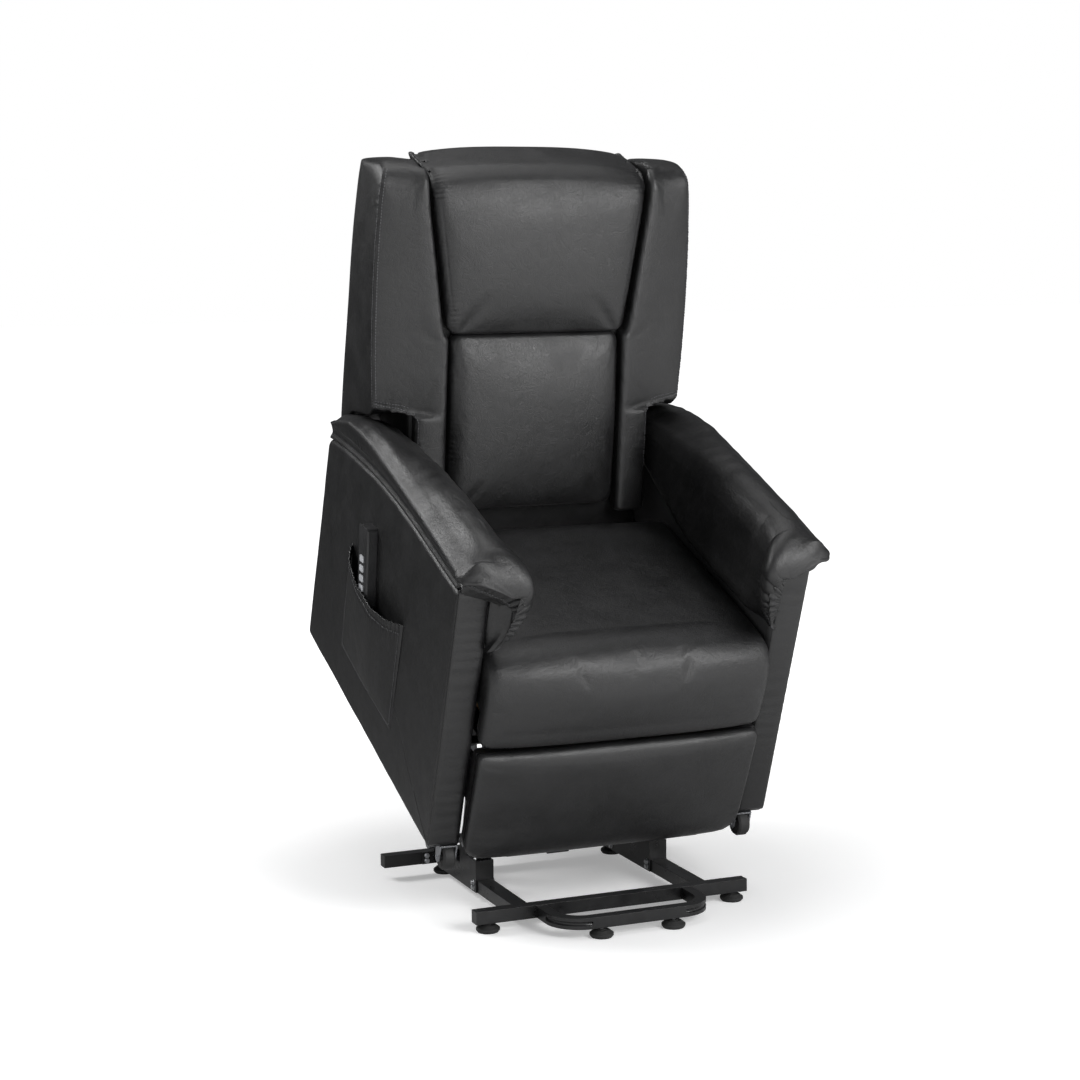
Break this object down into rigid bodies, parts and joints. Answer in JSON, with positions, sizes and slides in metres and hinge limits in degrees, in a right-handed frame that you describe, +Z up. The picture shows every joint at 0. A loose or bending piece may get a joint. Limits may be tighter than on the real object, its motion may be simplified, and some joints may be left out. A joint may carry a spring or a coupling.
{
  "type": "lift recliner chair",
  "caption": "Powered lift recliner with winged back, padded arms, folding footrest and handset, raised on a steel lift base with levelling feet.",
  "frame": {"origin": "on the floor, under the middle of the box round the raised chair", "axes": "+Z up, front of the chair towards -Y, +X to the right of someone who faces the chair's front; lift raised, back upright and footrest folded"},
  "size_m": [0.7813, 1.0032, 1.4961],
  "materials": {
    "black_steel": "satin black powder coat",
    "grey_steel": "bare steel, lightly brushed",
    "zinc": "bright zinc plate",
    "black_leather": "black bonded leather, semi-gloss with fine grain",
    "frame_wood": "unfinished plywood",
    "black_plastic": "matt black",
    "black_rubber": "matt black",
    "button_grey": "light grey"
  },
  "bodies": {
    "base": {"base_front_tube": "black_steel", "base_rear_tube": "black_steel", "base_rail_left": "black_steel", "base_rail_right": "black_steel", "base_hoop": "black_steel", "lift_bracket_left": "black_steel", "lift_bracket_right": "black_steel", "base_cross_tube": "black_steel", "tube_end_caps": "black_plastic", "base_feet": "black_rubber", "foot_studs": "zinc", "base_bolts": "zinc"},
    "rear_lift_arms": {"rear_lift_arms": "grey_steel", "lift_torque_tube": "grey_steel", "lift_crank": "grey_steel"},
    "front_lift_arms": {"front_lift_arms": "grey_steel"},
    "lift_motor": {"lift_motor": "black_plastic"},
    "lift_motor_rod": {"lift_motor_rod": "grey_steel"},
    "chair": {"lift_rail_left": "black_steel", "lift_rail_right": "black_steel", "side_plate_left": "black_steel", "side_plate_right": "black_steel", "cross_tubes": "black_steel", "seat_frame": "frame_wood", "seat_springs": "grey_steel", "seat_cushion": "black_leather", "arm_frames": "frame_wood", "arm_cover_left": "black_leather", "arm_cover_right": "black_leather", "arm_board_left": "frame_wood", "arm_board_right": "frame_wood", "arm_pad_left": "black_leather", "arm_pad_right": "black_leather", "handset_pocket": "black_leather", "rear_rail": "black_leather", "caster_forks": "grey_steel", "chair_bolts": "zinc"},
    "backrest": {"back_frame": "frame_wood", "back_core": "black_leather", "wing_left": "black_leather", "wing_right": "black_leather", "upper_cushion": "black_leather", "lumbar_cushion": "black_leather", "back_brackets": "black_steel"},
    "back_motor": {"back_motor": "black_plastic"},
    "back_motor_rod": {"back_motor_rod": "grey_steel"},
    "footrest_drive_links": {"footrest_drive_links": "black_steel"},
    "footrest_rear_links": {"footrest_rear_links": "black_steel"},
    "footrest_upper_links": {"footrest_upper_links": "black_steel"},
    "footrest_lower_links": {"footrest_lower_links": "black_steel"},
    "footrest": {"footrest_board": "frame_wood", "footrest_pad": "black_leather"},
    "caster_wheel_left": {"caster_wheel_left": "black_rubber"},
    "caster_wheel_right": {"caster_wheel_right": "black_rubber"},
    "handset": {"handset_shell": "black_plastic"},
    "button_up": {"button_up": "button_grey"},
    "button_down": {"button_down": "button_grey"},
    "button_recline": {"button_recline": "button_grey"},
    "button_upright": {"button_upright": "button_grey"}
  },
  "joints": [
    {"name": "lift", "type": "hinge", "parent": "base", "child": "rear_lift_arms", "pos_m": [0, 0.116, 0.0705], "axis": [1, 0, 0], "range_deg": [0, 54.26]},
    {"name": "chair_tilt", "type": "hinge", "parent": "rear_lift_arms", "child": "chair", "pos_m": [0, 0.00406, 0.34167], "axis": [1, 0, 0], "range_deg": [-76.46, 0]},
    {"name": "front_arm", "type": "hinge", "parent": "base", "child": "front_lift_arms", "pos_m": [0, -0.036, 0.1], "axis": [1, 0, 0], "range_deg": [0, 62.13]},
    {"name": "lift_motor_swing", "type": "hinge", "parent": "base", "child": "lift_motor", "pos_m": [0, -0.057, 0.091], "axis": [1, 0, 0], "range_deg": [0, 14.47]},
    {"name": "lift_rod", "type": "slide", "parent": "lift_motor", "child": "lift_motor_rod", "axis": [0, 0.9867, 0.1627], "range_m": [-0.06304, 0]},
    {"name": "footrest", "type": "hinge", "parent": "chair", "child": "footrest_drive_links", "pos_m": [0, -0.26608, 0.41845], "axis": [1, 0, 0], "range_deg": [-86, 0]},
    {"name": "footrest_rear_link", "type": "hinge", "parent": "chair", "child": "footrest_rear_links", "pos_m": [0, -0.17214, 0.39866], "axis": [1, 0, 0], "range_deg": [-86.3, 0]},
    {"name": "footrest_upper_link", "type": "hinge", "parent": "footrest_drive_links", "child": "footrest_upper_links", "pos_m": [0, -0.14019, 0.30629], "axis": [1, 0, 0], "range_deg": [0, 86.3]},
    {"name": "footrest_lower_link", "type": "hinge", "parent": "footrest_drive_links", "child": "footrest_lower_links", "pos_m": [0, -0.08793, 0.25973], "axis": [1, 0, 0], "range_deg": [0, 86.3]},
    {"name": "footrest_tilt", "type": "hinge", "parent": "footrest_upper_links", "child": "footrest", "pos_m": [0, -0.29675, 0.33929], "axis": [1, 0, 0], "range_deg": [-86.3, 0]},
    {"name": "backrest", "type": "hinge", "parent": "chair", "child": "backrest", "pos_m": [0, 0.246, 0.67819], "axis": [1, 0, 0], "range_deg": [-45, 0]},
    {"name": "back_motor_swing", "type": "hinge", "parent": "chair", "child": "back_motor", "pos_m": [0, 0.06397, 0.51276], "axis": [1, 0, 0], "range_deg": [-7.44, 0]},
    {"name": "back_rod", "type": "slide", "parent": "back_motor", "child": "back_motor_rod", "axis": [0, 0.9111, 0.4122], "range_m": [-0.0707, 0]},
    {"name": "caster_left", "type": "hinge", "parent": "chair", "child": "caster_wheel_left", "pos_m": [0, -0.22603, 0.13385], "axis": [1, 0, 0], "continuous": true},
    {"name": "caster_right", "type": "hinge", "parent": "chair", "child": "caster_wheel_right", "pos_m": [0, -0.22603, 0.13385], "axis": [1, 0, 0], "continuous": true},
    {"name": "handset", "type": "slide", "parent": "chair", "child": "handset", "axis": [0, -0.1374, 0.9905], "range_m": [0, 0.085]},
    {"name": "button_up", "type": "slide", "parent": "handset", "child": "button_up", "axis": [1, 0, 0], "range_m": [0, 0.0012], "stiffness_N_per_m": 400, "springref_m": -0.0004},
    {"name": "button_down", "type": "slide", "parent": "handset", "child": "button_down", "axis": [1, 0, 0], "range_m": [0, 0.0012], "stiffness_N_per_m": 400, "springref_m": -0.0004},
    {"name": "button_recline", "type": "slide", "parent": "handset", "child": "button_recline", "axis": [1, 0, 0], "range_m": [0, 0.0012], "stiffness_N_per_m": 400, "springref_m": -0.0004},
    {"name": "button_upright", "type": "slide", "parent": "handset", "child": "button_upright", "axis": [1, 0, 0], "range_m": [0, 0.0012], "stiffness_N_per_m": 400, "springref_m": -0.0004}
  ],
  "couplings": [
    {"joint": "chair_tilt", "follows": "lift", "ratio": -1.4036},
    {"joint": "front_arm", "follows": "lift", "ratio": 1.1395},
    {"joint": "lift_motor_swing", "follows": "lift", "ratio": 0.2611},
    {"joint": "lift_rod", "follows": "lift", "m_per_rad": -0.066035},
    {"joint": "footrest_rear_link", "follows": "footrest", "ratio": 1},
    {"joint": "footrest_upper_link", "follows": "footrest", "ratio": -1},
    {"joint": "footrest_lower_link", "follows": "footrest", "ratio": -1},
    {"joint": "footrest_tilt", "follows": "footrest", "ratio": 1},
    {"joint": "back_motor_swing", "follows": "backrest", "ratio": 0.1587},
    {"joint": "back_rod", "follows": "backrest", "m_per_rad": 0.089381}
  ]
}
